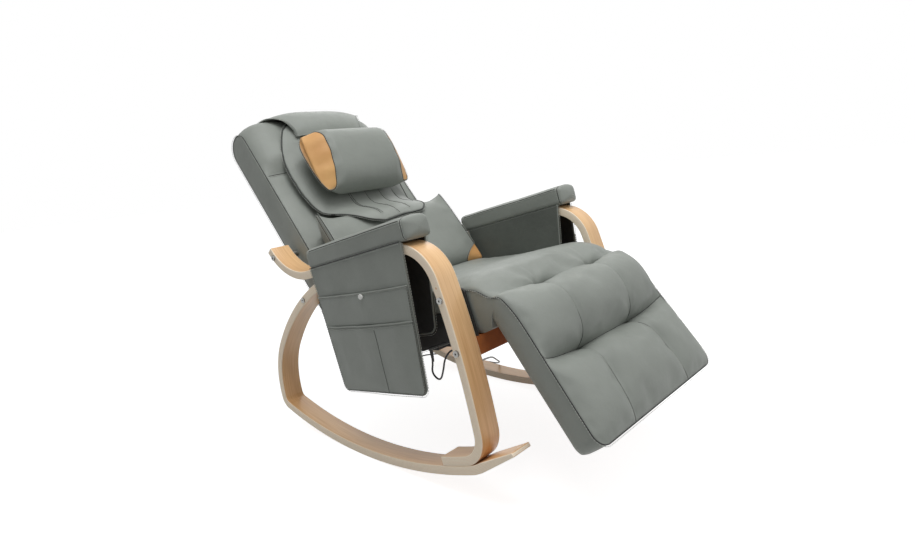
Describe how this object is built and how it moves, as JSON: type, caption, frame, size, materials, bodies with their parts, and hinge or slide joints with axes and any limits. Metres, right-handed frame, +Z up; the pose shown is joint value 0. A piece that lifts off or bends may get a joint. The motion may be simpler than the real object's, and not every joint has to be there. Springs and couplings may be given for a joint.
{
  "type": "massage rocking chair",
  "caption": "Bentwood rocking lounge chair with a padded reclined back, neck and lumbar massage pillows, tilting leg rest and pocketed arm panels.",
  "frame": {"origin": "on the floor, midway between the side frames, at the line where the rockers touch it", "axes": "+Z up, the chair faces -Y, +X to the sitter's left"},
  "size_m": [0.729, 1.2594, 0.9167],
  "materials": {
    "bent_wood": "satin lacquered bent plywood",
    "rail_wood": "plain plywood",
    "bolt_steel": "bright plated",
    "black_steel": "matt powder coat",
    "grey_cushion": "foam in grained grey-green upholstery",
    "grey_leather": "grained grey-green upholstery sheet",
    "dark_lining": "dark matt lining",
    "motor_steel": "turned steel",
    "white_plastic": "moulded",
    "black_plastic": "moulded black"
  },
  "bodies": {
    "chair": {"back_bolts": "bolt_steel", "back_cover": "grey_leather", "back_cross_bars": "black_steel", "back_cushion": "grey_cushion", "back_gussets": "black_steel", "back_sleeves": "bolt_steel", "control_box": "black_plastic", "front_rail": "rail_wood", "head_flap": "grey_cushion", "knee_pins": "bolt_steel", "lead_coil": "black_plastic", "lead_plug": "black_plastic", "left_arm_bow": "bent_wood", "left_arm_pad": "grey_cushion", "left_back_rail": "black_steel", "left_inner_panel": "dark_lining", "left_lower_pocket": "grey_leather", "left_outer_panel": "grey_leather", "left_rocker": "bent_wood", "left_seat_bar": "black_steel", "left_seat_hinge_arm": "black_steel", "left_upper_pocket": "grey_leather", "leg_plugs": "bent_wood", "lumbar_drive_plate": "white_plastic", "lumbar_motor": "motor_steel", "lumbar_pillow": "grey_cushion", "pocket_snaps": "bolt_steel", "power_lead": "black_plastic", "rail_bolts": "bolt_steel", "right_arm_bow": "bent_wood", "right_arm_pad": "grey_cushion", "right_back_rail": "black_steel", "right_inner_panel": "dark_lining", "right_lower_pocket": "grey_leather", "right_outer_panel": "grey_leather", "right_rocker": "bent_wood", "right_seat_bar": "black_steel", "right_seat_hinge_arm": "black_steel", "right_upper_pocket": "grey_leather", "seat_board": "rail_wood", "seat_bolts": "bolt_steel", "seat_cross_bars": "black_steel", "seat_cushion": "grey_cushion", "seat_ears": "black_steel", "top_strap": "grey_cushion"},
    "legrest": {"legrest_cushion": "grey_cushion", "legrest_board": "rail_wood", "left_legrest_hinge_arm": "black_steel", "right_legrest_hinge_arm": "black_steel"},
    "neck_unit": {"neck_pillow": "grey_cushion", "neck_drive_plate": "white_plastic", "neck_motor": "motor_steel"},
    "neck_head_left": {"neck_left_head": "white_plastic"},
    "neck_head_right": {"neck_right_head": "white_plastic"},
    "neck_worm": {"neck_worm_shaft": "motor_steel"},
    "lumbar_head_left": {"lumbar_left_head": "white_plastic"},
    "lumbar_head_right": {"lumbar_right_head": "white_plastic"},
    "lumbar_worm": {"lumbar_worm_shaft": "motor_steel"}
  },
  "joints": [
    {"name": "legrest_tilt", "type": "hinge", "parent": "chair", "child": "legrest", "pos_m": [0, -0.45961, 0.4438], "axis": [-1, 0, 0], "range_deg": [-25, 50]},
    {"name": "neck_pillow_height", "type": "slide", "parent": "chair", "child": "neck_unit", "axis": [0, 0.6293, 0.7771], "range_m": [-0.04, 0.04]},
    {"name": "neck_left_spin", "type": "hinge", "parent": "neck_unit", "child": "neck_head_left", "pos_m": [0.043, 0.31807, 0.73486], "axis": [0, -0.7771, 0.6293], "continuous": true},
    {"name": "neck_right_spin", "type": "hinge", "parent": "neck_unit", "child": "neck_head_right", "pos_m": [-0.043, 0.31807, 0.73486], "axis": [0, -0.7771, 0.6293], "continuous": true},
    {"name": "neck_worm_spin", "type": "hinge", "parent": "neck_unit", "child": "neck_worm", "pos_m": [-0.066, 0.31645, 0.76306], "axis": [1, 0, 0], "continuous": true},
    {"name": "lumbar_left_spin", "type": "hinge", "parent": "chair", "child": "lumbar_head_left", "pos_m": [0.054, 0.21138, 0.50729], "axis": [0, -0.7771, 0.6293], "continuous": true},
    {"name": "lumbar_right_spin", "type": "hinge", "parent": "chair", "child": "lumbar_head_right", "pos_m": [-0.054, 0.21138, 0.50729], "axis": [0, -0.7771, 0.6293], "continuous": true},
    {"name": "lumbar_worm_spin", "type": "hinge", "parent": "chair", "child": "lumbar_worm", "pos_m": [-0.077, 0.20976, 0.53549], "axis": [1, 0, 0], "continuous": true}
  ],
  "couplings": [
    {"joint": "neck_right_spin", "follows": "neck_left_spin", "ratio": -1},
    {"joint": "neck_worm_spin", "follows": "neck_left_spin", "ratio": 10},
    {"joint": "lumbar_right_spin", "follows": "lumbar_left_spin", "ratio": -1},
    {"joint": "lumbar_worm_spin", "follows": "lumbar_left_spin", "ratio": 10}
  ]
}
